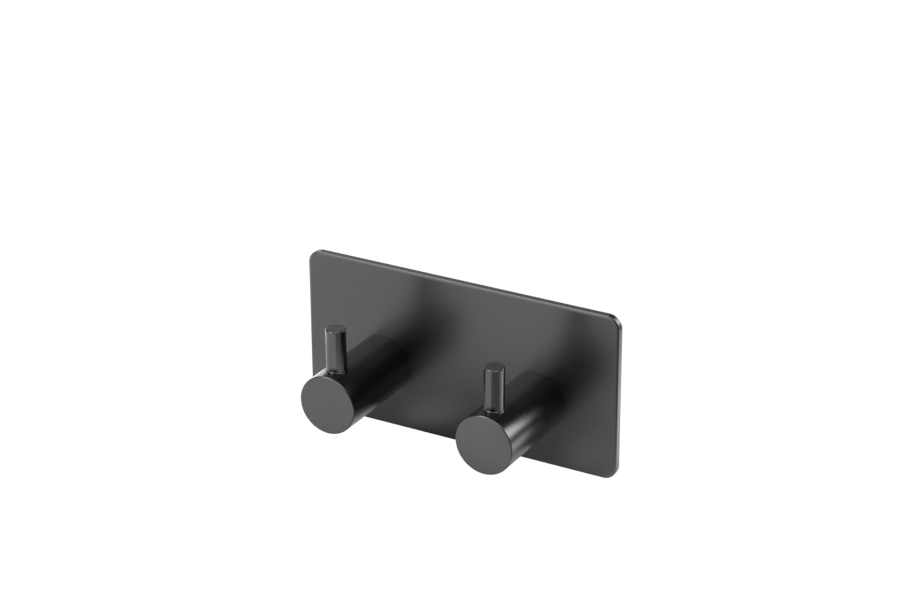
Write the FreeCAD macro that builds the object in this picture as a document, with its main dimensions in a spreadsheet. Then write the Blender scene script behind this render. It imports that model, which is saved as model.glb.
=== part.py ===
import FreeCAD, Part
import math
import os
import Sketcher

# Double robe hook: a flat wall plate with two round posts, each with an upright pin near its end.
# Millimetres. The origin is the centre of the face that lies on the wall. +X runs along the plate,
# +Y goes into the wall and +Z is up, so the posts stand out along -Y.

SIZES = (
    ("plate_width", 100.0),
    ("plate_height", 50.0),
    ("plate_thickness", 2.3),
    ("plate_corner", 4.0),
    ("plate_edge", 0.4),
    ("plate_burr", 0.2),
    ("pad_thickness", 1.1),
    ("pad_inset", 2.0),
    ("post_spacing", 50.0),
    ("post_drop", 5.7),
    ("post_diameter", 17.6),
    ("post_length", 31.2),
    ("post_edge", 0.3),
    ("post_splay", 0.6),
    ("pin_diameter", 5.8),
    ("pin_setback", 5.9),
    ("pin_rise", 12.6),
    ("spigot_diameter", 4.5),
    ("spigot_length", 7.0),
    ("pin_flare", 0.4),
    ("foot_land", 0.1),
    ("pin_edge", 0.3),
    ("screw_diameter", 4.0),
    ("screw_length", 10.0),
    ("screw_clearance", 0.4),
    ("screw_point", 0.4),
    ("head_diameter", 8.0),
    ("head_land", 0.2),
    ("head_sink", 0.1),
    ("key_width", 2.5),
    ("key_depth", 1.6),
    ("tap_runout", 2.0),
    ("tap_chamfer", 0.3),
)

# Places that more than one piece uses, worked out from the sizes above.
PLATE_FRONT = "(Sizes.pad_thickness + Sizes.plate_thickness)"
PIN_PLACE = "(Sizes.post_length - Sizes.pin_setback)"
CROWN = "(Sizes.post_diameter / 2)"
SOCKET_FLOOR = "(Sizes.post_diameter / 2 - Sizes.spigot_length)"
PIN_TOP = "(Sizes.post_diameter / 2 + Sizes.pin_rise)"
PIN_RADIUS = "(Sizes.pin_diameter / 2)"
FOOT_RADIUS = "(Sizes.pin_diameter / 2 + Sizes.pin_flare)"
FOOT_TOP = "(Sizes.post_diameter / 2 + Sizes.foot_land)"
HEAD_CONE = "((Sizes.head_diameter - Sizes.screw_diameter) / 2)"
HEAD_DEPTH = f"(Sizes.head_sink + Sizes.head_land + {HEAD_CONE})"
SCREW_REACH = "(Sizes.screw_length + Sizes.head_sink - Sizes.plate_thickness)"

COUNTERSINK_ANGLE = 90
DRILL_ANGLE = 118
HEXAGON = range(0, 360, 60)
TOLERANCE = 1e-4
CUTS = ("PartDesign::Pocket", "PartDesign::Hole")
SIDES = (("left", -1), ("right", 1))

doc = FreeCAD.newDocument("double_robe_hook")
sheet = doc.addObject("Spreadsheet::Sheet", "Sizes")


def fill_sheet():
    for row, (name, size) in enumerate(SIZES, 1):
        sheet.set(f"A{row}", name)
        sheet.set(f"B{row}", str(size))
        sheet.setAlias(f"B{row}", name)
    doc.recompute()


def value(expression):
    return float(sheet.evalExpression(expression))


def new_body(name):
    body = doc.addObject("PartDesign::Body", name)
    body.Label = name
    return body


def place(body, across="0", out="0", down="0", axis=(0, 1, 0), turn="0"):
    """Puts the body's origin across the plate, out from the wall and down from the centre."""
    body.Placement = FreeCAD.Placement(FreeCAD.Vector(), FreeCAD.Rotation(FreeCAD.Vector(*axis), 1))
    body.setExpression("Placement.Base.x", across)
    body.setExpression("Placement.Base.y", f"-({out})")
    body.setExpression("Placement.Base.z", f"-({down})")
    body.setExpression("Placement.Rotation.Angle", turn)


def add_sketch(body, name, role, offset="0"):
    """A sketch on one of the body's own origin planes, moved along that plane's normal."""
    sketch = body.newObject("Sketcher::SketchObject", name)
    plane = next(item for item in body.Origin.OriginFeatures if item.Role == role)
    sketch.AttachmentSupport = [(plane, "")]
    sketch.MapMode = "FlatFace"
    sketch.setExpression("AttachmentOffset.Base.z", offset)
    return sketch


def hold(sketch, kind, geometry, point, expression):
    """Ties one coordinate of a point of the sketch, DistanceX or DistanceY from the origin."""
    rule = Sketcher.Constraint(kind, -1, 1, geometry, point, value(expression))
    index = sketch.addConstraint(rule)
    sketch.setExpression(f"Constraints[{index}]", expression)


def hold_point(sketch, geometry, point, place_x, place_y):
    hold(sketch, "DistanceX", geometry, point, place_x)
    hold(sketch, "DistanceY", geometry, point, place_y)


def draw_circle(sketch, diameter, place_x="0", place_y="0"):
    centre = FreeCAD.Vector(value(place_x), value(place_y), 0)
    normal = FreeCAD.Vector(0, 0, 1)
    circle = sketch.addGeometry(Part.Circle(centre, normal, value(diameter) / 2), False)
    index = sketch.addConstraint(Sketcher.Constraint("Diameter", circle, value(diameter)))
    sketch.setExpression(f"Constraints[{index}]", diameter)
    hold_point(sketch, circle, 3, place_x, place_y)


def arc_between(start, end, centre):
    """The arc that runs anticlockwise from start to end about centre."""
    from_centre = [point - centre for point in (start, end)]
    angles = [math.atan2(spoke.y, spoke.x) for spoke in from_centre]
    circle = Part.Circle(centre, FreeCAD.Vector(0, 0, 1), from_centre[0].Length)
    return Part.ArcOfCircle(circle, *angles)


def draw_outline(sketch, corners, hollow_after=None, hollow_centre=None):
    """A closed outline with each corner tied to its place.

    Its sides are straight, apart from the one after corner hollow_after, a quarter round hollow.
    """
    points = [FreeCAD.Vector(value(x), value(y), 0) for x, y in corners]
    for index, (start, end) in enumerate(zip(points, points[1:] + points[:1])):
        if index == hollow_after:
            centre = FreeCAD.Vector(value(hollow_centre[0]), value(hollow_centre[1]), 0)
            sketch.addGeometry(arc_between(start, end, centre), False)
            hold(sketch, "DistanceX", index, 3, hollow_centre[0])
        else:
            sketch.addGeometry(Part.LineSegment(start, end), False)
    count = len(points)
    for index in range(count):
        sketch.addConstraint(Sketcher.Constraint("Coincident", (index - 1) % count, 2, index, 1))
    for index, (x, y) in enumerate(corners):
        hold_point(sketch, index, 1, x, y)


def draw_rectangle(sketch, width, height):
    left, right = f"-({width}) / 2", f"({width}) / 2"
    low, high = f"-({height}) / 2", f"({height}) / 2"
    draw_outline(sketch, [(left, low), (right, low), (right, high), (left, high)])


def extrude(body, name, sketch, length, both_ways=False):
    pad = body.newObject("PartDesign::Pad", name)
    pad.Profile = sketch
    pad.SideType = "Symmetric" if both_ways else "One side"
    pad.setExpression("Length", length)
    doc.recompute()
    return pad


def cut_down(body, name, sketch, depth):
    """A pocket against the sketch's normal."""
    pocket = body.newObject("PartDesign::Pocket", name)
    pocket.Profile = sketch
    pocket.setExpression("Length", depth)
    doc.recompute()
    return pocket


def cut_through(body, name, sketch):
    pocket = body.newObject("PartDesign::Pocket", name)
    pocket.Profile = sketch
    pocket.SideType = "Symmetric"
    pocket.Type = "ThroughAll"
    doc.recompute()
    return pocket


def drill(body, name, sketch, diameter, mouth, depth=None):
    """A plain round hole with a countersunk mouth, along the sketch's normal."""
    doc.recompute()
    hole = body.newObject("PartDesign::Hole", name)
    hole.Profile = sketch
    doc.recompute()
    hole.Reversed = True
    hole.ThreadType = "None"
    hole.setExpression("Diameter", diameter)
    if depth is None:
        hole.DepthType = "ThroughAll"
    else:
        hole.DepthType = "Dimension"
        hole.setExpression("Depth", depth)
        hole.DrillPoint = "Angled"
        hole.DrillPointAngle = DRILL_ANGLE
    hole.HoleCutType = "Countersink"
    hole.HoleCutCustomValues = True
    hole.HoleCutCountersinkAngle = COUNTERSINK_ANGLE
    hole.setExpression("HoleCutDiameter", mouth)
    doc.recompute()
    return hole


def turn_about_upright(body, name, profile):
    """Turns a profile a full circle about its sketch's upright axis."""
    turned = body.newObject("PartDesign::Revolution", name)
    turned.Profile = profile
    turned.ReferenceAxis = (profile, ["V_Axis"])
    turned.Angle = 360
    doc.recompute()
    return turned


def dress_edges(body, kind, name, base, size, wanted):
    """Rounds (Fillet) or bevels (Chamfer) the edges of base whose points all pass the test wanted."""
    edges = [
        f"Edge{number}"
        for number, edge in enumerate(base.Shape.Edges, 1)
        if all(wanted(point) for point in edge.discretize(7))
    ]
    if not edges:
        raise RuntimeError(f"{name} finds no edge on {base.Label}")
    dressed = body.newObject(f"PartDesign::{kind}", name)
    dressed.Base = (base, edges)
    dressed.setExpression("Radius" if kind == "Fillet" else "Size", size)
    doc.recompute()
    return dressed


def near(number, expression):
    return abs(number - value(expression)) < TOLERANCE


def round_corners(body, name, base, width, height, radius):
    """Rounds the four corners of a flat piece of the given width and height."""

    def is_corner(point):
        return near(2 * abs(point.x), width) and near(2 * abs(point.z), height)

    return dress_edges(body, "Fillet", name, base, radius, is_corner)


def make_back_plate():
    body = new_body("back_plate")
    place(body, out="Sizes.pad_thickness")
    outline = add_sketch(body, "plate_outline", "XZ_Plane")
    draw_rectangle(outline, "Sizes.plate_width", "Sizes.plate_height")
    blank = extrude(body, "plate_blank", outline, "Sizes.plate_thickness")
    rounded = round_corners(
        body, "plate_corners", blank, "Sizes.plate_width", "Sizes.plate_height", "Sizes.plate_corner"
    )

    def is_front_rim(point):
        return near(-point.y, "Sizes.plate_thickness")

    def is_back_rim(point):
        return near(point.y, "0")

    softened = dress_edges(
        body, "Fillet", "plate_front_rim", rounded, "Sizes.plate_edge", is_front_rim
    )
    dress_edges(body, "Chamfer", "plate_back_rim", softened, "Sizes.plate_burr", is_back_rim)

    # The countersinks open on the back face, and their cones are the screw heads' own.
    centres = add_sketch(body, "screw_centres", "XZ_Plane")
    for side_name, side in SIDES:
        draw_circle(
            centres, "Sizes.screw_diameter", f"{side} * Sizes.post_spacing / 2", "-Sizes.post_drop"
        )
    drill(
        body,
        "screw_holes",
        centres,
        "Sizes.screw_diameter + Sizes.screw_clearance",
        "Sizes.head_diameter + 2 * (Sizes.head_sink + Sizes.head_land)",
    )
    return body


def make_adhesive_pad():
    body = new_body("adhesive_pad")
    place(body)
    width = "Sizes.plate_width - 2 * Sizes.pad_inset"
    height = "Sizes.plate_height - 2 * Sizes.pad_inset"
    outline = add_sketch(body, "pad_outline", "XZ_Plane")
    draw_rectangle(outline, width, height)
    blank = extrude(body, "pad_blank", outline, "Sizes.pad_thickness")
    round_corners(
        body, "pad_corners", blank, width, height, "Sizes.plate_corner - Sizes.pad_inset"
    )
    return body


def place_on_post(body, side):
    """Posts and pins share one frame: on the plate's front, turned about the post's own axis."""
    place(
        body,
        across=f"{side} * Sizes.post_spacing / 2",
        out=PLATE_FRONT,
        down="Sizes.post_drop",
        turn=f"{side} * Sizes.post_splay",
    )


def make_post(side_name, side):
    body = new_body(f"{side_name}_post")
    place_on_post(body, side)
    section = add_sketch(body, f"{side_name}_post_section", "XZ_Plane")
    draw_circle(section, "Sizes.post_diameter")
    bar = extrude(body, f"{side_name}_post_bar", section, "Sizes.post_length")

    # The front end is bevelled. The end behind stays square, to close tight on the plate.
    def is_front_rim(point):
        return near(-point.y, "Sizes.post_length")

    dress_edges(body, "Chamfer", f"{side_name}_post_rim", bar, "Sizes.post_edge", is_front_rim)

    # The tapped hole starts behind, and its mouth clears the cone of a head that passes the plate.
    tap = add_sketch(body, f"{side_name}_tap_centre", "XZ_Plane")
    draw_circle(tap, "Sizes.screw_diameter")
    drill(
        body,
        f"{side_name}_tapped_hole",
        tap,
        "Sizes.screw_diameter",
        f"Sizes.screw_diameter + 2 * (Sizes.tap_chamfer + max(0; {HEAD_DEPTH} - Sizes.plate_thickness))",
        f"{SCREW_REACH} + Sizes.tap_runout",
    )

    socket = add_sketch(body, f"{side_name}_socket_outline", "XY_Plane", CROWN)
    draw_circle(socket, "Sizes.spigot_diameter", place_y=f"-{PIN_PLACE}")
    cut_down(body, f"{side_name}_pin_socket", socket, "Sizes.spigot_length")
    return body


def make_pin(side_name, side):
    """A turned pin with a flared foot, coped to sit on the post's round crown, and a spigot below."""
    body = new_body(f"{side_name}_pin")
    place_on_post(body, side)

    # The profile stands on the post's axis, half in front of the pin's own axis. The foot's land is the
    # least height of its side, where it stands on the very top of the crown.
    profile = add_sketch(body, f"{side_name}_pin_profile", "XZ_Plane", PIN_PLACE)
    draw_outline(
        profile,
        [
            ("0", PIN_TOP),
            (f"{PIN_RADIUS} - Sizes.pin_edge", PIN_TOP),
            (PIN_RADIUS, f"{PIN_TOP} - Sizes.pin_edge"),
            (PIN_RADIUS, f"{FOOT_TOP} + Sizes.pin_flare"),
            (FOOT_RADIUS, FOOT_TOP),
            (FOOT_RADIUS, "0"),
            ("0", "0"),
        ],
        hollow_after=3,
        hollow_centre=(FOOT_RADIUS, f"{FOOT_TOP} + Sizes.pin_flare"),
    )
    turn_about_upright(body, f"{side_name}_pin_turned", profile)

    crown = add_sketch(body, f"{side_name}_crown_section", "XZ_Plane", PIN_PLACE)
    draw_circle(crown, "Sizes.post_diameter")
    cut_through(body, f"{side_name}_cope", crown)

    # The thinner spigot fills the socket in the post and runs up into the pin.
    spigot = add_sketch(body, f"{side_name}_spigot_section", "XY_Plane", SOCKET_FLOOR)
    draw_circle(spigot, "Sizes.spigot_diameter", place_y=f"-{PIN_PLACE}")
    spigot_up = extrude(
        body, f"{side_name}_spigot", spigot, "Sizes.spigot_length + Sizes.pin_flare"
    )

    def is_spigot_end(point):
        return near(point.z, SOCKET_FLOOR)

    dress_edges(
        body, "Chamfer", f"{side_name}_spigot_lead", spigot_up, "Sizes.pin_edge", is_spigot_end
    )
    return body


def make_screw(side_name, side):
    """A countersunk screw with a hexagon socket, drawn upright on its head and laid along -Y."""
    body = new_body(f"{side_name}_post_screw")
    place(
        body,
        across=f"{side} * Sizes.post_spacing / 2",
        out="Sizes.pad_thickness + Sizes.head_sink",
        down="Sizes.post_drop",
        axis=(1, 0, 0),
        turn="90",
    )
    profile = add_sketch(body, f"{side_name}_screw_profile", "XZ_Plane")
    head_radius, radius = "Sizes.head_diameter / 2", "Sizes.screw_diameter / 2"
    draw_outline(
        profile,
        [
            ("0", "0"),
            (head_radius, "0"),
            (head_radius, "Sizes.head_land"),
            (radius, f"Sizes.head_land + {HEAD_CONE}"),
            (radius, "Sizes.screw_length - Sizes.screw_point"),
            (f"{radius} - Sizes.screw_point", "Sizes.screw_length"),
            ("0", "Sizes.screw_length"),
        ],
    )
    turn_about_upright(body, f"{side_name}_screw_turned", profile)

    key = add_sketch(body, f"{side_name}_key_outline", "XY_Plane")
    corner = "Sizes.key_width / sqrt(3)"
    draw_outline(
        key, [(f"{corner} * cos({angle} deg)", f"{corner} * sin({angle} deg)") for angle in HEXAGON]
    )
    # The head's face is the sketch's plane and the solid lies above it, so the cut goes up.
    socket = cut_down(body, f"{side_name}_key_socket", key, "Sizes.key_depth")
    socket.Reversed = True
    doc.recompute()
    return body


def check_document(bodies):
    """Stops before anything is written if a feature failed, a cut took nothing or a shape is bad."""
    for item in doc.Objects:
        if "Invalid" in item.State or "Error" in item.State:
            raise RuntimeError(f"{item.Label} did not build: {item.State}")
    for body in bodies:
        for feature in body.Group:
            if feature.TypeId in CUTS:
                taken = feature.BaseFeature.Shape.Volume - feature.Shape.Volume
                if taken < TOLERANCE:
                    raise RuntimeError(f"{feature.Label} cuts nothing")
        if body.Shape.isNull() or not body.Shape.isValid() or len(body.Shape.Solids) != 1:
            raise RuntimeError(f"{body.Label} is not one valid solid")


def main():
    fill_sheet()
    bodies = [make_back_plate(), make_adhesive_pad()]
    for side_name, side in SIDES:
        bodies.append(make_post(side_name, side))
        bodies.append(make_pin(side_name, side))
        bodies.append(make_screw(side_name, side))
    doc.recompute()
    check_document(bodies)
    os.makedirs("parts", exist_ok=True)
    for body in bodies:
        body.Shape.exportStep(f"parts/{body.Label}.step")
        box = body.Shape.BoundBox
        print(
            f"{body.Label}: {box.XLength:.2f} x {box.YLength:.2f} x {box.ZLength:.2f} mm,"
            f" {body.Shape.Volume:.1f} mm3"
        )


main()
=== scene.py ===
import math

import bmesh
import bpy
from mathutils import Matrix, Vector


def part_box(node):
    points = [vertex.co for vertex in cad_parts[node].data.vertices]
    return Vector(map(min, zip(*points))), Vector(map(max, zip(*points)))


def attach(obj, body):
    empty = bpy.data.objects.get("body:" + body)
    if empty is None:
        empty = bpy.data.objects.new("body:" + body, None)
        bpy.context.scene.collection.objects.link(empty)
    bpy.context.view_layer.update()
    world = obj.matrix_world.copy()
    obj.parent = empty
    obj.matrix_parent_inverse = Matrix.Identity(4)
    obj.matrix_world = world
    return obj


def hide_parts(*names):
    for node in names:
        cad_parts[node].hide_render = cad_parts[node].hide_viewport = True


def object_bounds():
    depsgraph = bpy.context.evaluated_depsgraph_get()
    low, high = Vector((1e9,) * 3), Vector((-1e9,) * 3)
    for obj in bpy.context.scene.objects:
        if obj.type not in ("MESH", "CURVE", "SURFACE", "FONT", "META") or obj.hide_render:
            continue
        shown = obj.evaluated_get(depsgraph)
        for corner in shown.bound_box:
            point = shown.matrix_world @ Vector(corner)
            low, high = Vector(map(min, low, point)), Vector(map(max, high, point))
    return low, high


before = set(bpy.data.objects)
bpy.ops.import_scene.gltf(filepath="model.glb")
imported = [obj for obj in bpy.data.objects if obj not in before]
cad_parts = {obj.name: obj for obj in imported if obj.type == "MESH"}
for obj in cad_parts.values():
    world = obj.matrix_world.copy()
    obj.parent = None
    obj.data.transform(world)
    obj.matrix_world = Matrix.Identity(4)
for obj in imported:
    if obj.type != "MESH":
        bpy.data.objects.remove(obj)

# Double robe hook. Lengths in this script are millimetres and become metres where a mesh is made. Only
# the frame's boxes, the backdrop and the table are in metres from the start. The frame is the part's own:
# the wall is at y = 0, +Z is up and the posts stand out along -Y.
MM = 0.001
CAD_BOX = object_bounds()
SIDES = (("left", -1), ("right", 1))

# Sizes of the pieces. The overall ones come from the frame. A rim is its width in the flat face and its
# depth down the side.
PLATE_CORNER = 4.0
PLATE_RIM = (1.05, 0.4)
PLATE_BURR = 0.2
PAD_CORNER = 2.0
POST_DROP = 5.7
POST_RIM = (0.35, 0.35)
POST_SPLAY = math.radians(0.6)
PIN_SETBACK = 5.9
PIN_RISE = 12.6
PIN_RADIUS = 2.9
PIN_FLARE = 0.22
FOOT_LAND = 0.1
PIN_RIM = (0.3, 0.3)
SPIGOT_EDGE = 0.3
SPIGOT_RADIUS = 2.25
SPIGOT_LENGTH = 7.0
SCREW_RADIUS = 2.0
SCREW_LENGTH = 10.0
SCREW_CLEARANCE = 0.2
SCREW_POINT = 0.4
HEAD_RADIUS = 4.0
HEAD_LAND = 0.2
HEAD_SINK = 0.1
HEAD_EDGE = 0.05
KEY_WIDTH = 2.5
KEY_DEPTH = 1.6
KEY_CONE = 0.3
THREAD_PITCH = 0.7
THREAD_DEPTH = 0.38
TAP_RUNOUT = 2.0
TAP_CHAMFER = 0.3
DRILL_HALF_ANGLE = math.radians(59)

# Half the flat crest and one flank of the thread, as shares of its pitch.
THREAD_CREST = 0.0625
THREAD_FLANK = 0.3125

# How finely the round shapes are divided.
POST_STEPS = 128
PIN_STEPS = 96
HOLE_STEPS = 96
SCREW_STEPS = 48
CORNER_STEPS = 14
RIM_STEPS = 10
PIN_RIM_STEPS = 5
FLARE_STEPS = 8
ROWS_A_PITCH = 14


def box_mm(node):
    low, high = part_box(node)
    return low / MM, high / MM


PLATE_LOW, PLATE_HIGH = box_mm("back_plate")
PAD_LOW, PAD_HIGH = box_mm("adhesive_pad")
PLATE_WIDTH = PLATE_HIGH.x - PLATE_LOW.x
PLATE_HEIGHT = PLATE_HIGH.z - PLATE_LOW.z
PLATE_BACK = PLATE_HIGH.y
PLATE_FRONT = PLATE_LOW.y
PLATE_THICKNESS = PLATE_BACK - PLATE_FRONT
POST_LOW, POST_HIGH = box_mm("right_post")
POST_RADIUS = (POST_HIGH.x - POST_LOW.x) / 2
POST_LENGTH = POST_HIGH.y - POST_LOW.y
POST_PLACE = (POST_HIGH.x + POST_LOW.x) / 2


class Shape:
    """A mesh under construction, in millimetres."""

    def __init__(self):
        self.work = bmesh.new()

    def ring(self, points):
        return [self.work.verts.new(point) for point in points]

    def join(self, first, second):
        """Quads between two rings of equally many points."""
        count = len(first)
        for index in range(count):
            after = (index + 1) % count
            self.work.faces.new((first[index], first[after], second[after], second[index]))

    def rings(self, rows):
        made = [self.ring(row) for row in rows]
        for first, second in zip(made, made[1:]):
            self.join(first, second)
        return made

    def cap(self, ring):
        self.work.faces.new(ring)

    def fill(self, rings, normal):
        """Triangles over a flat face that has the first ring as its rim and the others as holes."""
        edges = [
            self.work.edges.get((ring[index], ring[(index + 1) % len(ring)]))
            for ring in rings
            for index in range(len(ring))
        ]
        bmesh.ops.triangle_fill(self.work, use_beauty=True, edges=edges, normal=normal)

    def finish(self, name, material, sharp=40.0, matrix=None):
        """The object, with smooth faces that stay crisp at its sharp edges."""
        bmesh.ops.remove_doubles(self.work, verts=self.work.verts, dist=1e-5)
        bmesh.ops.recalc_face_normals(self.work, faces=self.work.faces)
        bmesh.ops.scale(self.work, verts=self.work.verts, vec=(MM, MM, MM))
        mesh = bpy.data.meshes.new(name)
        self.work.to_mesh(mesh)
        self.work.free()
        mesh.shade_smooth()
        mesh.set_sharp_from_angle(angle=math.radians(sharp))
        mesh.materials.append(material)
        piece = bpy.data.objects.new(name, mesh)
        if matrix is not None:
            piece.matrix_world = matrix
        bpy.context.scene.collection.objects.link(piece)
        even = piece.modifiers.new("even_shading", "WEIGHTED_NORMAL")
        even.keep_sharp = True
        return piece


def turned(steps, radius, height, axis="Z"):
    """A level ring about an upright axis, or about Y for a lying one."""
    points = []
    for index in range(steps):
        angle = math.tau * index / steps
        across, away = radius * math.cos(angle), radius * math.sin(angle)
        points.append((across, away, height) if axis == "Z" else (across, height, away))
    return points


def quarter(steps, rim):
    """Pairs (in, down) of a rounded rim, from its flat face to its side."""
    width, depth = rim
    return [
        (width * (1 - math.sin(angle)), depth * (1 - math.cos(angle)))
        for angle in (math.pi / 2 * index / steps for index in range(steps + 1))
    ]


def rounded_rectangle(width, height, radius, depth):
    points = []
    for corner in range(4):
        for index in range(CORNER_STEPS + 1):
            angle = math.pi / 2 * (corner + index / CORNER_STEPS)
            centre_x = (width / 2 - radius) * (1 if corner in (0, 3) else -1)
            centre_z = (height / 2 - radius) * (1 if corner in (0, 1) else -1)
            points.append(
                (centre_x + radius * math.cos(angle), depth, centre_z + radius * math.sin(angle))
            )
    return points


def make_plate(material):
    shape = Shape()

    def outline(inset, depth):
        return rounded_rectangle(
            PLATE_WIDTH - 2 * inset, PLATE_HEIGHT - 2 * inset, PLATE_CORNER - inset, depth
        )

    rows = [outline(PLATE_BURR, PLATE_BACK), outline(0, PLATE_BACK - PLATE_BURR)]
    for inward, down in reversed(quarter(RIM_STEPS, PLATE_RIM)):
        rows.append(outline(inward, PLATE_FRONT + down))
    made = shape.rings(rows)

    mouth = HEAD_RADIUS + HEAD_SINK + HEAD_LAND
    bore = SCREW_RADIUS + SCREW_CLEARANCE
    front_rings, back_rings = [made[-1]], [made[0]]
    for _, side in SIDES:

        def hole(radius, depth):
            return [
                (x + side * POST_PLACE, y, z - POST_DROP)
                for x, y, z in turned(HOLE_STEPS, radius, depth, "Y")
            ]

        walls = shape.rings(
            [
                hole(mouth, PLATE_BACK),
                hole(bore, PLATE_BACK - (mouth - bore)),
                hole(bore, PLATE_FRONT),
            ]
        )
        back_rings.append(walls[0])
        front_rings.append(walls[-1])
    shape.fill(front_rings, (0, -1, 0))
    shape.fill(back_rings, (0, 1, 0))
    return shape.finish("robe_hook_plate", material)


# The cut edge of the pad from the wall to the plate: a share of its thickness, and how far in the edge
# lies. The two adhesive films stand a little proud of the foam between them.
PAD_EDGE = ((0, 0.12), (0.06, 0), (0.14, 0.07), (0.5, 0.1), (0.86, 0.07), (0.94, 0), (1, 0.12))


def make_pad(material):
    shape = Shape()
    width, height = PAD_HIGH.x - PAD_LOW.x, PAD_HIGH.z - PAD_LOW.z
    rows = []
    for share, inset in PAD_EDGE:
        depth = PAD_HIGH.y + share * (PAD_LOW.y - PAD_HIGH.y)
        rows.append(
            rounded_rectangle(width - 2 * inset, height - 2 * inset, PAD_CORNER - inset, depth)
        )
    made = shape.rings(rows)
    shape.cap(made[0])
    shape.cap(made[-1])
    return shape.finish("adhesive_foam_pad", material)


def on_post(side, out=0.0):
    """The place and lean of what stands on a post's axis."""
    place = Vector((side * POST_PLACE, PLATE_FRONT - out, -POST_DROP)) * MM
    return Matrix.Translation(place) @ Matrix.Rotation(side * POST_SPLAY, 4, "Y")


def thread_radius(depth, angle, start, end):
    """Radius of a right-hand metric thread at a depth along the screw, faded out at both ends."""
    share = (depth / THREAD_PITCH - angle / math.tau) % 1.0
    flank = min(max((abs(share - 0.5) - THREAD_CREST) / THREAD_FLANK, 0.0), 1.0)
    fade = min(max((depth - start) / THREAD_PITCH, 0.0), 1.0) * min(
        max((end - depth) / THREAD_PITCH, 0.0), 1.0
    )
    return SCREW_RADIUS - THREAD_DEPTH * flank * fade


def screw_point(radius, angle, depth):
    """A point about a screw's or a bore's axis, with the depth away from the wall."""
    return (radius * math.cos(angle), -depth, radius * math.sin(angle))


def screw_ring(radius, depth):
    return [
        screw_point(radius, math.tau * index / SCREW_STEPS, depth) for index in range(SCREW_STEPS)
    ]


def threaded_rings(start, end):
    """Rings of a thread between two depths."""
    count = round((end - start) / THREAD_PITCH * ROWS_A_PITCH)
    rows = []
    for row in range(count + 1):
        depth = start + (end - start) * row / count
        points = []
        for index in range(SCREW_STEPS):
            angle = math.tau * index / SCREW_STEPS
            points.append(screw_point(thread_radius(depth, angle, start, end), angle, depth))
        rows.append(points)
    return rows


def close_to_point(shape, ring, depth):
    """A cone from a ring to the point on the axis at a depth."""
    tip = shape.work.verts.new((0, -depth, 0))
    for index in range(len(ring)):
        shape.work.faces.new((ring[index], ring[(index + 1) % len(ring)], tip))


def make_post(side_name, side, material):
    shape = Shape()
    rows = []
    for inward, down in quarter(RIM_STEPS, POST_RIM):
        rows.append(turned(POST_STEPS, POST_RADIUS - inward, down - POST_LENGTH, "Y"))
    pin_place = POST_LENGTH - PIN_SETBACK
    foot = PIN_RADIUS + PIN_FLARE
    for out in (pin_place + foot, pin_place - foot, 0.0):
        rows.append(turned(POST_STEPS, POST_RADIUS, -out, "Y"))
    made = shape.rings(rows)
    shape.cap(made[0])

    reach = SCREW_LENGTH + HEAD_SINK - PLATE_THICKNESS + TAP_RUNOUT
    mouth = shape.ring(screw_ring(SCREW_RADIUS + TAP_CHAMFER, 0))
    wall = shape.rings(threaded_rings(TAP_CHAMFER, reach))
    shape.join(mouth, wall[0])
    close_to_point(shape, wall[-1], reach + SCREW_RADIUS / math.tan(DRILL_HALF_ANGLE))
    shape.fill([made[-1], mouth], (0, 1, 0))
    return shape.finish(f"{side_name}_turned_post", material, matrix=on_post(side))


def crown_height(radius, angle):
    """Height of the post's round surface above its axis, under a ring of the pin's foot."""
    return math.sqrt(POST_RADIUS**2 - (radius * math.cos(angle)) ** 2)


def make_pin(side_name, side, material):
    shape = Shape()
    top = POST_RADIUS + PIN_RISE
    rows = [
        turned(PIN_STEPS, PIN_RADIUS - inward, top - down)
        for inward, down in quarter(PIN_RIM_STEPS, PIN_RIM)
    ]
    foot = PIN_RADIUS + PIN_FLARE
    for index in range(FLARE_STEPS + 1):
        angle = math.pi / 2 * index / FLARE_STEPS
        rows.append(
            turned(
                PIN_STEPS,
                foot - PIN_FLARE * math.cos(angle),
                POST_RADIUS + FOOT_LAND + PIN_FLARE * (1 - math.sin(angle)),
            )
        )
    for radius in (foot, (foot + SPIGOT_RADIUS) / 2, SPIGOT_RADIUS):
        rows.append(
            [
                (x, y, crown_height(radius, math.tau * index / PIN_STEPS))
                for index, (x, y, _) in enumerate(turned(PIN_STEPS, radius, 0))
            ]
        )
    floor = POST_RADIUS - SPIGOT_LENGTH
    rows.append(turned(PIN_STEPS, SPIGOT_RADIUS, floor + SPIGOT_EDGE))
    rows.append(turned(PIN_STEPS, SPIGOT_RADIUS - SPIGOT_EDGE, floor))
    made = shape.rings(rows)
    shape.cap(made[0])
    shape.cap(made[-1])
    matrix = on_post(side, POST_LENGTH - PIN_SETBACK)
    return shape.finish(f"{side_name}_turned_pin", material, matrix=matrix)


def key_hexagon(depth):
    points = []
    for index in range(SCREW_STEPS):
        angle = math.tau * index / SCREW_STEPS
        from_flat = (angle + math.pi / 6) % (math.pi / 3) - math.pi / 6
        points.append(screw_point(KEY_WIDTH / 2 / math.cos(from_flat), angle, depth))
    return points


def make_screw(side_name, side, material):
    shape = Shape()
    neck = HEAD_LAND + HEAD_RADIUS - SCREW_RADIUS
    rows = [key_hexagon(KEY_DEPTH), key_hexagon(0.0)]
    rows.append(screw_ring(HEAD_RADIUS - HEAD_EDGE, 0.0))
    rows.append(screw_ring(HEAD_RADIUS, HEAD_EDGE))
    rows.append(screw_ring(HEAD_RADIUS, HEAD_LAND))
    rows += threaded_rings(neck, SCREW_LENGTH - SCREW_POINT)
    rows.append(screw_ring(SCREW_RADIUS - SCREW_POINT, SCREW_LENGTH))
    made = shape.rings(rows)
    close_to_point(shape, made[0], KEY_DEPTH + KEY_CONE)
    shape.cap(made[-1])
    place = Vector((side * POST_PLACE, PLATE_BACK - HEAD_SINK, -POST_DROP)) * MM
    return shape.finish(
        f"{side_name}_threaded_screw", material, matrix=Matrix.Translation(place)
    )


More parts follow.
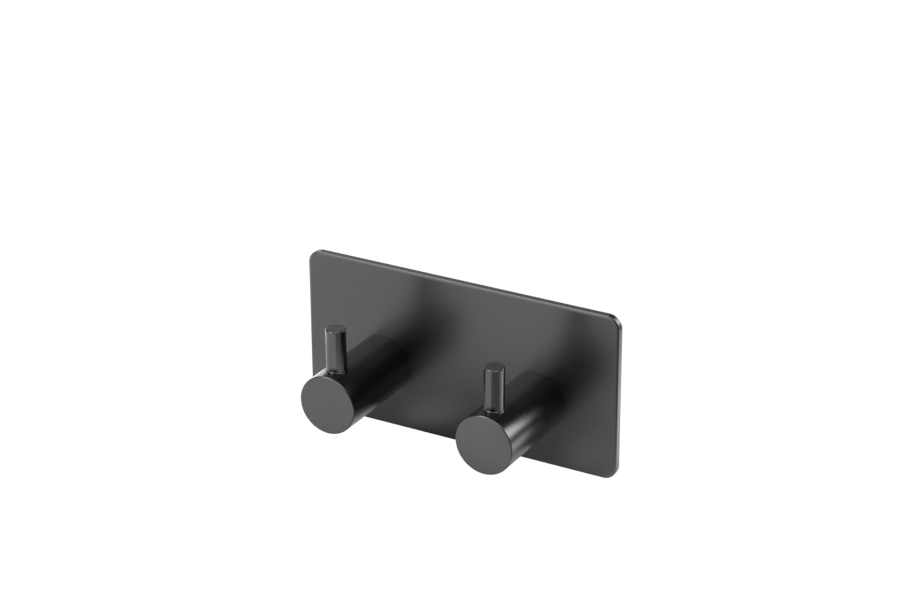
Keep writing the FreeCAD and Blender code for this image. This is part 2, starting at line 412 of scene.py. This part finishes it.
class Tree:
    """Short ways to add and join shader nodes."""

    def __init__(self, tree):
        self.tree = tree
        tree.nodes.clear()

    def add(self, kind, inputs=None, **settings):
        node = self.tree.nodes.new(kind)
        for name, value in settings.items():
            setattr(node, name, value)
        for name, value in (inputs or {}).items():
            socket = node.inputs[name]
            if isinstance(value, bpy.types.NodeSocket):
                self.tree.links.new(value, socket)
            else:
                socket.default_value = value
        return node

    def math(self, operation, a, b=0.0, clamp=False):
        return self.add("ShaderNodeMath", {0: a, 1: b}, operation=operation, use_clamp=clamp).outputs[0]

    def step(self, value, low, high, low_out=0.0, high_out=1.0):
        return self.add(
            "ShaderNodeMapRange",
            {"Value": value, "From Min": low, "From Max": high, "To Min": low_out, "To Max": high_out},
            interpolation_type="SMOOTHSTEP",
        ).outputs[0]

    def dot(self, vector, towards):
        return self.add(
            "ShaderNodeVectorMath", {0: vector, 1: towards}, operation="DOT_PRODUCT"
        ).outputs["Value"]


# The dark satin coating. The flat sheet is rougher than what is turned, and its tone is a little darker as
# painted shade on the same coating.
GUNMETAL = (0.121, 0.1215, 0.119)
GUNMETAL_SHEET_SHADED = (0.113, 0.1135, 0.111)
SHEET_ROUGHNESS = 0.30
BAR_ROUGHNESS = 0.25
PIN_ROUGHNESS = 0.20

# Its marks: noise scales for each millimetre, how far the brushing stretches them along the plate, how
# fast they change round a turned piece, and what the grain and the clouds add to the tone and roughness.
COARSE_GRAIN = 1.3
FINE_GRAIN = 3.4
CLOUD_SCALE = 0.09
GRAIN_STRETCH = 0.03
ROUND_CHANGE = 0.7
UNEVEN_TONE = (0.055, 0.06)
UNEVEN_ROUGHNESS = (0.05, 0.08)
GRAIN_BUMP = 0.06
GRAIN_DEPTH = 0.002
ANISOTROPY = 0.3
QUARTER_TURN = 0.25


def noise_about_zero(tree, vector, scale, detail=2.0):
    """Noise around zero, mostly within a quarter either way."""
    noise = tree.add("ShaderNodeTexNoise", {"Vector": vector, "Scale": scale, "Detail": detail})
    return tree.math("SUBTRACT", noise.outputs["Fac"], 0.5)


def stretched(tree, vector, scales):
    return tree.add(
        "ShaderNodeVectorMath", {0: vector, 1: scales}, operation="MULTIPLY"
    ).outputs["Vector"]


def in_millimetres(tree, place):
    return stretched(tree, place, (1 / MM,) * 3)


def round_marks(tree, place, axis):
    """Where to read the noise for a lathe's marks, which run round the side and round the end."""
    parts = tree.add("ShaderNodeSeparateXYZ", {0: place})
    order = (1, 0, 2) if axis == "Y" else (2, 0, 1)
    along, across, away = (parts.outputs[index] for index in order)
    flat = tree.add("ShaderNodeCombineXYZ", {0: across, 1: away}).outputs[0]
    radius = tree.add("ShaderNodeVectorMath", {0: flat}, operation="LENGTH").outputs["Value"]
    spoke = tree.add("ShaderNodeVectorMath", {0: flat}, operation="NORMALIZE").outputs["Vector"]
    spoke_parts = tree.add("ShaderNodeSeparateXYZ", {0: spoke})
    sign = -1.0 if axis == "Y" else 1.0
    run = tree.math("ADD", tree.math("MULTIPLY", along, sign), radius)
    return tree.add(
        "ShaderNodeCombineXYZ",
        {
            0: tree.math("MULTIPLY", run, 1 / MM),
            1: tree.math("MULTIPLY", spoke_parts.outputs[0], ROUND_CHANGE),
            2: tree.math("MULTIPLY", spoke_parts.outputs[1], ROUND_CHANGE),
        },
    ).outputs[0]


def satin_gunmetal(name, colour, roughness, turned_about=None):
    """Dark satin coating over metal that was brushed along the plate or turned about an axis."""
    material = bpy.data.materials.new(name)
    material.use_nodes = True
    tree = Tree(material.node_tree)
    place = tree.add("ShaderNodeTexCoord").outputs["Object"]
    if turned_about:
        marks = round_marks(tree, place, turned_about)
        tangent = tree.add("ShaderNodeTangent", direction_type="RADIAL", axis=turned_about).outputs[0]
    else:
        marks = stretched(tree, place, (GRAIN_STRETCH / MM, 1 / MM, 1 / MM))
        normal = tree.add("ShaderNodeNewGeometry").outputs["Normal"]
        upward = tree.math("ABSOLUTE", tree.dot(normal, (0, 0, 1)))
        level = tree.math("GREATER_THAN", upward, 0.75)
        steep = tree.math("SUBTRACT", 1.0, level)
        tangent = tree.add("ShaderNodeCombineXYZ", {0: level, 2: steep}).outputs[0]

    coarse = noise_about_zero(tree, marks, COARSE_GRAIN, 1.0)
    fine = noise_about_zero(tree, marks, FINE_GRAIN, 1.0)
    cloud = noise_about_zero(tree, in_millimetres(tree, place), CLOUD_SCALE)
    grain = tree.math("ADD", coarse, fine)

    def uneven(by_grain, by_cloud):
        from_grain = tree.math("MULTIPLY", grain, by_grain)
        return tree.math("ADD", from_grain, tree.math("MULTIPLY", cloud, by_cloud))

    bright = tree.math("ADD", uneven(*UNEVEN_TONE), 1.0)
    shaded = tree.add(
        "ShaderNodeVectorMath", {0: colour, "Scale": bright}, operation="SCALE"
    ).outputs["Vector"]
    bump = tree.add(
        "ShaderNodeBump", {"Height": grain, "Strength": GRAIN_BUMP, "Distance": GRAIN_DEPTH * MM}
    )
    surface = tree.add(
        "ShaderNodeBsdfPrincipled",
        {
            "Base Color": shaded,
            "Metallic": 1.0,
            "Roughness": tree.math("ADD", uneven(*UNEVEN_ROUGHNESS), roughness),
            "Anisotropic": ANISOTROPY,
            "Anisotropic Rotation": QUARTER_TURN if turned_about else 0.0,
            "Tangent": tangent,
            "Normal": bump.outputs[0],
        },
    )
    tree.add("ShaderNodeOutputMaterial", {"Surface": surface.outputs[0]})
    return material


# The zinc's two tints, where one turns into the other in its clouds, the scales of clouds and specks,
# how deep the specks are, and the roughness where no cloud is and what a full cloud adds.
ZINC_BLUE = (0.56, 0.59, 0.63, 1)
ZINC_YELLOW = (0.66, 0.63, 0.53, 1)
ZINC_TURN = (0.35, 0.65)
ZINC_CLOUDS = 0.5
ZINC_SPECKS = 12.0
ZINC_SPECK_DEPTH = 0.01
ZINC_ROUGHNESS = 0.22
ZINC_CLOUD_ROUGHNESS = 0.14


def zinc_plate():
    """Bright zinc with a faint blue and yellow passivation."""
    material = bpy.data.materials.new("zinc_plating")
    material.use_nodes = True
    tree = Tree(material.node_tree)
    place = in_millimetres(tree, tree.add("ShaderNodeTexCoord").outputs["Object"])
    cloud = tree.math("ADD", noise_about_zero(tree, place, ZINC_CLOUDS), 0.5)
    speck = noise_about_zero(tree, place, ZINC_SPECKS)
    blend = tree.add(
        "ShaderNodeMix",
        {"Factor": tree.step(cloud, *ZINC_TURN), "A": ZINC_BLUE, "B": ZINC_YELLOW},
        data_type="RGBA",
    )
    bump = tree.add(
        "ShaderNodeBump", {"Height": speck, "Strength": 0.2, "Distance": ZINC_SPECK_DEPTH * MM}
    )
    cloudy = tree.math("MULTIPLY", cloud, ZINC_CLOUD_ROUGHNESS)
    surface = tree.add(
        "ShaderNodeBsdfPrincipled",
        {
            "Base Color": blend.outputs["Result"],
            "Metallic": 1.0,
            "Roughness": tree.math("ADD", cloudy, ZINC_ROUGHNESS),
            "Normal": bump.outputs[0],
        },
    )
    tree.add("ShaderNodeOutputMaterial", {"Surface": surface.outputs[0]})
    return material


# The foam's tone and the film's roughness, and what the cut edge's open cells add to them; the cells' tone
# is painted shade that darkens their hollows. Cells and wrinkles are noise scales for each millimetre. The
# cells show through the film at a share of their depth.
FOAM_TONE = 0.045
CELL_HOLLOW_SHADE = 0.05
WRINKLE_TONE = 0.02
FILM_ROUGHNESS = 0.42
CUT_ROUGHNESS = 0.45
WRINKLE_ROUGHNESS = 0.2
FOAM_CELLS = 3.2
FILM_WRINKLES = 0.35
CELL_DEPTH = 0.12
FILM_SHARE = 0.15
WRINKLE_SHARE = 0.6


def foam_tape():
    """Dark closed-cell foam: open cells along its cut edge, and a satin adhesive film on both faces."""
    material = bpy.data.materials.new("foam_and_adhesive")
    material.use_nodes = True
    tree = Tree(material.node_tree)
    place = in_millimetres(tree, tree.add("ShaderNodeTexCoord").outputs["Object"])
    normal = tree.add("ShaderNodeNewGeometry").outputs["Normal"]
    film = tree.math("GREATER_THAN", tree.math("ABSOLUTE", tree.dot(normal, (0, 1, 0))), 0.9)
    cut = tree.math("SUBTRACT", 1.0, film)
    cells = tree.add(
        "ShaderNodeTexVoronoi", {"Vector": place, "Scale": FOAM_CELLS}, feature="SMOOTH_F1"
    ).outputs["Distance"]
    wrinkle = noise_about_zero(tree, place, FILM_WRINKLES, 3.0)

    def wrinkled(value, strength):
        return tree.math("ADD", value, tree.math("MULTIPLY", wrinkle, strength))

    # Painted shade: the cut edge is darker in the hollows of its cells, where the bump is lowest.
    shade = tree.math("MULTIPLY", cells, CELL_HOLLOW_SHADE)
    tone = wrinkled(tree.math("ADD", tree.math("MULTIPLY", shade, cut), FOAM_TONE), WRINKLE_TONE)
    colour = tree.add("ShaderNodeCombineColor", {0: tone, 1: tone, 2: tone}).outputs[0]
    depth = tree.math("ADD", tree.math("MULTIPLY", cut, 1 - FILM_SHARE), FILM_SHARE)
    height = wrinkled(tree.math("MULTIPLY", cells, depth), WRINKLE_SHARE)
    bump = tree.add(
        "ShaderNodeBump", {"Height": height, "Strength": 0.5, "Distance": CELL_DEPTH * MM}
    )
    rough = tree.math("ADD", tree.math("MULTIPLY", cut, CUT_ROUGHNESS), FILM_ROUGHNESS)
    surface = tree.add(
        "ShaderNodeBsdfPrincipled",
        {
            "Base Color": colour,
            "Roughness": wrinkled(rough, WRINKLE_ROUGHNESS),
            "Normal": bump.outputs[0],
        },
    )
    tree.add("ShaderNodeOutputMaterial", {"Surface": surface.outputs[0]})
    return material


def direction(azimuth, elevation):
    """Azimuth 0 is the front of the plate, and 90 its right."""
    turn, rise = math.radians(azimuth), math.radians(elevation)
    return Vector(
        (math.sin(turn) * math.cos(rise), -math.cos(turn) * math.cos(rise), math.sin(rise))
    )


def sector(tree, level_way, azimuth, half, soft):
    """One within half the width of an azimuth and zero beyond it, with soft sides."""
    wide, narrow = min(half + soft, 180), max(half - soft, 0)
    return tree.step(
        tree.dot(level_way, direction(azimuth, 0)),
        math.cos(math.radians(wide)),
        math.cos(math.radians(narrow)),
    )


# The camera: lens and sensor, where it stands as azimuth and elevation, the spot in the plate's front that
# it looks at as x and z, its distance from there and its roll in degrees.
CAMERA_LENS = 100.913
CAMERA_SENSOR = 36
CAMERA_PLACE = (29.659, 24.385)
CAMERA_TARGET = (-2.858, 19.04)
CAMERA_DISTANCE = 710.78
CAMERA_ROLL = -0.382


def make_camera():
    """The photograph's own view."""
    camera = bpy.data.cameras.new("camera")
    camera.lens = CAMERA_LENS
    camera.sensor_width = CAMERA_SENSOR
    camera.clip_start = 0.01
    camera.clip_end = 100
    holder = bpy.data.objects.new("camera", camera)
    bpy.context.scene.collection.objects.link(holder)
    back = direction(*CAMERA_PLACE)
    x, z = CAMERA_TARGET
    target = Vector((x, PLATE_FRONT, z)) * MM
    holder.rotation_mode = "QUATERNION"
    turn = (-back).to_track_quat("-Z", "Y").to_matrix().to_4x4()
    roll = Matrix.Rotation(math.radians(CAMERA_ROLL), 4, "Z")
    place = Matrix.Translation(target + back * (CAMERA_DISTANCE * MM))
    holder.matrix_world = place @ turn @ roll
    bpy.context.scene.camera = holder


# The studio's soft boxes and black flags, each by its azimuth, half width and softness in degrees, the
# elevations of its lower and upper edge with their softness, and its brightness or its shade. Then the
# room's own light, and the ceiling's, with the sines of the elevations between which it comes in.
SOFT_BOXES = {
    "strip behind on the right": (142, 10, 21, 7, 29.5, 5.5, 6.0),
    "ring above the lens": (355, 120, 17, 44, 49, 6, 1.1),
    "box high on the left": (273, 45, 7, 49, 71, 6, 2.3),
    "box low behind on the left": (233, 22, 18, -26, 13, 20, 3.5),
    "card in front": (335, 12, 15, -12, 53, 10, 2.2),
    "small lamp for the rims": (303, 13, 8, 44, 64, 5, 5.0),
    "lamp high on the right": (50, 34, 14, 50, 63, 5, 5.5),
}
FLAGS = {
    "flag above and behind": (208, 80, 24, 30, 84, 8, 0.91),
    "flag beside the lens": (30, 35, 25, -20, 59, 10, 0.71),
}
ROOM = 0.34
CEILING = 1.4
CEILING_HEIGHTS = (0.85, 0.97)

# The backdrop's radius and the table's half width are in metres.
BACKDROP_RADIUS = 4.0
BACKDROP_WHITE = 1.05
TABLE_HALF = 3.5

# The table's broad shading, painted into its glow, about a centre a little in front of the wall. Two
# sectors, each by its azimuth, half width and softness, the radii between which it comes in, and how much
# it darkens or brightens. Then the painted shade under the hook, by its half width and half depth, the
# shares of its size between which it fades, and what is left of the light in it. Last the fading towards
# the back, by where it starts and ends along Y and what is left there.
TABLE_CENTRE = (0, -15)
TABLE_DARK = (47, 35, 9, 54, 66, 0.67)
TABLE_LIT = (215, 55, 41, 100, 126, 1.95)
TABLE_SHADE = (64, 34, 0.44, 1.56, 0.32)
TABLE_BACK = (-20, 270, 0.11)

# Soft round shadows and glows painted on the table: centre, half width and half depth in millimetres,
# the softness of the edge as a share of the size, and how much it darkens or brightens.
TABLE_SPOTS = {
    "shadow between the posts": (-5, -6, 12, 9, 0.6, -0.45),
    "glow under the left post": (-16, -17, 8, 9, 0.6, 0.37),
    "glow under the right post": (38, -20, 10, 13, 0.5, 0.34),
    "glow beside the plate": (56, 1, 10, 15, 0.5, 0.6),
    "glow behind on the right": (78, 38, 24, 40, 0.5, 1.1),
    "glow in front on the right": (20, -80, 25, 16, 0.6, 0.14),
    "glow beside the left post": (-61, -14, 13, 20, 0.5, 0.5),
    "glow behind on the left": (-96, 56, 26, 30, 0.5, 1.8),
}


def make_world():
    world = bpy.data.worlds.new("studio")
    bpy.context.scene.world = world
    world.use_nodes = True
    tree = Tree(world.node_tree)
    way = tree.add("ShaderNodeTexCoord").outputs["Generated"]
    height = tree.dot(way, (0, 0, 1))
    level = tree.add(
        "ShaderNodeVectorMath", {0: stretched(tree, way, (1, 1, 0))}, operation="NORMALIZE"
    ).outputs["Vector"]

    def rise(elevation):
        return math.sin(math.radians(min(elevation, 90)))

    def panel(azimuth, half, soft, low, high, edge, strength):
        above = tree.step(height, rise(low - edge), rise(low + edge))
        below = tree.step(height, rise(high - edge), rise(high + edge), 1.0, 0.0)
        across = tree.math("MULTIPLY", sector(tree, level, azimuth, half, soft), strength)
        return tree.math("MULTIPLY", across, tree.math("MULTIPLY", above, below))

    total = ROOM
    for flag in FLAGS.values():
        total = tree.math("MULTIPLY", total, tree.math("SUBTRACT", 1.0, panel(*flag)))
    for box in SOFT_BOXES.values():
        total = tree.math("ADD", total, panel(*box))
    total = tree.math("ADD", total, tree.step(height, *CEILING_HEIGHTS, 0.0, CEILING))
    background = tree.add("ShaderNodeBackground", {"Strength": total})
    tree.add("ShaderNodeOutputWorld", {"Surface": background.outputs[0]})


def staged(name, shape_mesh, surface_of):
    material = bpy.data.materials.new(name)
    material.use_nodes = True
    tree = Tree(material.node_tree)
    tree.add("ShaderNodeOutputMaterial", {"Surface": surface_of(tree).outputs[0]})
    shape_mesh.materials.append(material)
    item = bpy.data.objects.new(name, shape_mesh)
    bpy.context.scene.collection.objects.link(item)
    return item


def make_backdrop():
    """The plain white paper that only the camera sees, all round the object."""
    work = bmesh.new()
    bmesh.ops.create_uvsphere(work, u_segments=64, v_segments=32, radius=BACKDROP_RADIUS)
    mesh = bpy.data.meshes.new("white_backdrop")
    work.to_mesh(mesh)
    work.free()

    def surface(tree):
        return tree.add("ShaderNodeEmission", {"Strength": BACKDROP_WHITE})

    paper = staged("white_backdrop", mesh, surface)
    paper.visible_diffuse = False
    paper.visible_glossy = False
    paper.visible_transmission = False
    paper.visible_volume_scatter = False
    paper.visible_shadow = False


def table_surface(tree):
    """The pale table's glow as the object sees it, painted with shade under the hook, dark front right,
    bright back left.
    """
    place = stretched(tree, tree.add("ShaderNodeTexCoord").outputs["Object"], (1 / MM, 1 / MM, 0))
    centre_x, centre_y = TABLE_CENTRE
    to_centre = (-centre_x, -centre_y, 0)
    centred = tree.add("ShaderNodeVectorMath", {0: place, 1: to_centre}).outputs["Vector"]
    radius = tree.add("ShaderNodeVectorMath", {0: centred}, operation="LENGTH").outputs["Value"]
    level = tree.add("ShaderNodeVectorMath", {0: centred}, operation="NORMALIZE").outputs["Vector"]

    def wedge(azimuth, half, soft, start, end, strength):
        across = sector(tree, level, azimuth, half, soft)
        return tree.math("MULTIPLY", across, tree.step(radius, start, end, 0.0, strength))

    def far_from(x, y, half_width, half_depth):
        away = tree.add("ShaderNodeVectorMath", {0: place, 1: (-x, -y, 0)}).outputs["Vector"]
        squeezed = stretched(tree, away, (1 / half_width, 1 / half_depth, 0))
        return tree.add("ShaderNodeVectorMath", {0: squeezed}, operation="LENGTH").outputs["Value"]

    total = tree.math("SUBTRACT", 1.0, wedge(*TABLE_DARK))
    total = tree.math("ADD", total, wedge(*TABLE_LIT))
    shade_width, shade_depth, inner, outer, left = TABLE_SHADE
    under = far_from(centre_x, centre_y, shade_width, shade_depth)
    total = tree.math("MULTIPLY", total, tree.step(under, inner, outer, left, 1.0))
    near, far, left = TABLE_BACK
    total = tree.math("MULTIPLY", total, tree.step(tree.dot(place, (0, 1, 0)), near, far, 1.0, left))
    for x, y, half_width, half_depth, soft, strength in TABLE_SPOTS.values():
        share = far_from(x, y, half_width, half_depth)
        if strength < 0:
            kept = tree.step(share, 1 - soft, 1 + soft, 1 + strength, 1.0)
            total = tree.math("MULTIPLY", total, kept)
        else:
            total = tree.math("ADD", total, tree.step(share, 1 - soft, 1 + soft, strength, 0.0))
    return tree.add("ShaderNodeEmission", {"Strength": total})


def make_table():
    """The pale table level with the hook's lower edge, a glowing sheet with its shadows painted in. It
    lights the hook, and the camera misses it.
    """
    low = CAD_BOX[0].z
    signs = ((-1, -1), (1, -1), (1, 1), (-1, 1))
    corners = [(x * TABLE_HALF, y * TABLE_HALF, low) for x, y in signs]
    mesh = bpy.data.meshes.new("pale_table")
    mesh.from_pydata(corners, [], [(0, 1, 2, 3)])
    table = staged("pale_table", mesh, table_surface)
    table.visible_camera = False


make_camera()
make_world()
make_backdrop()
make_table()
bpy.context.scene.view_settings.view_transform = "Standard"

# The plate has the bars' coating, with painted shade in its darker tone.
plate_metal = satin_gunmetal("brushed_gunmetal", GUNMETAL_SHEET_SHADED, SHEET_ROUGHNESS)
bar_metal = satin_gunmetal("turned_gunmetal_bar", GUNMETAL, BAR_ROUGHNESS, "Y")
pin_metal = satin_gunmetal("turned_gunmetal_pin", GUNMETAL, PIN_ROUGHNESS, "Z")
zinc = zinc_plate()
foam = foam_tape()


def fit_in(piece, node):
    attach(piece, "root")
    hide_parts(node)


fit_in(make_plate(plate_metal), "back_plate")
pad = make_pad(foam)
fit_in(pad, "adhesive_pad")
for side_name, side in SIDES:
    fit_in(make_post(side_name, side, bar_metal), f"{side_name}_post")
    fit_in(make_pin(side_name, side, pin_metal), f"{side_name}_pin")
    fit_in(make_screw(side_name, side, zinc), f"{side_name}_post_screw")
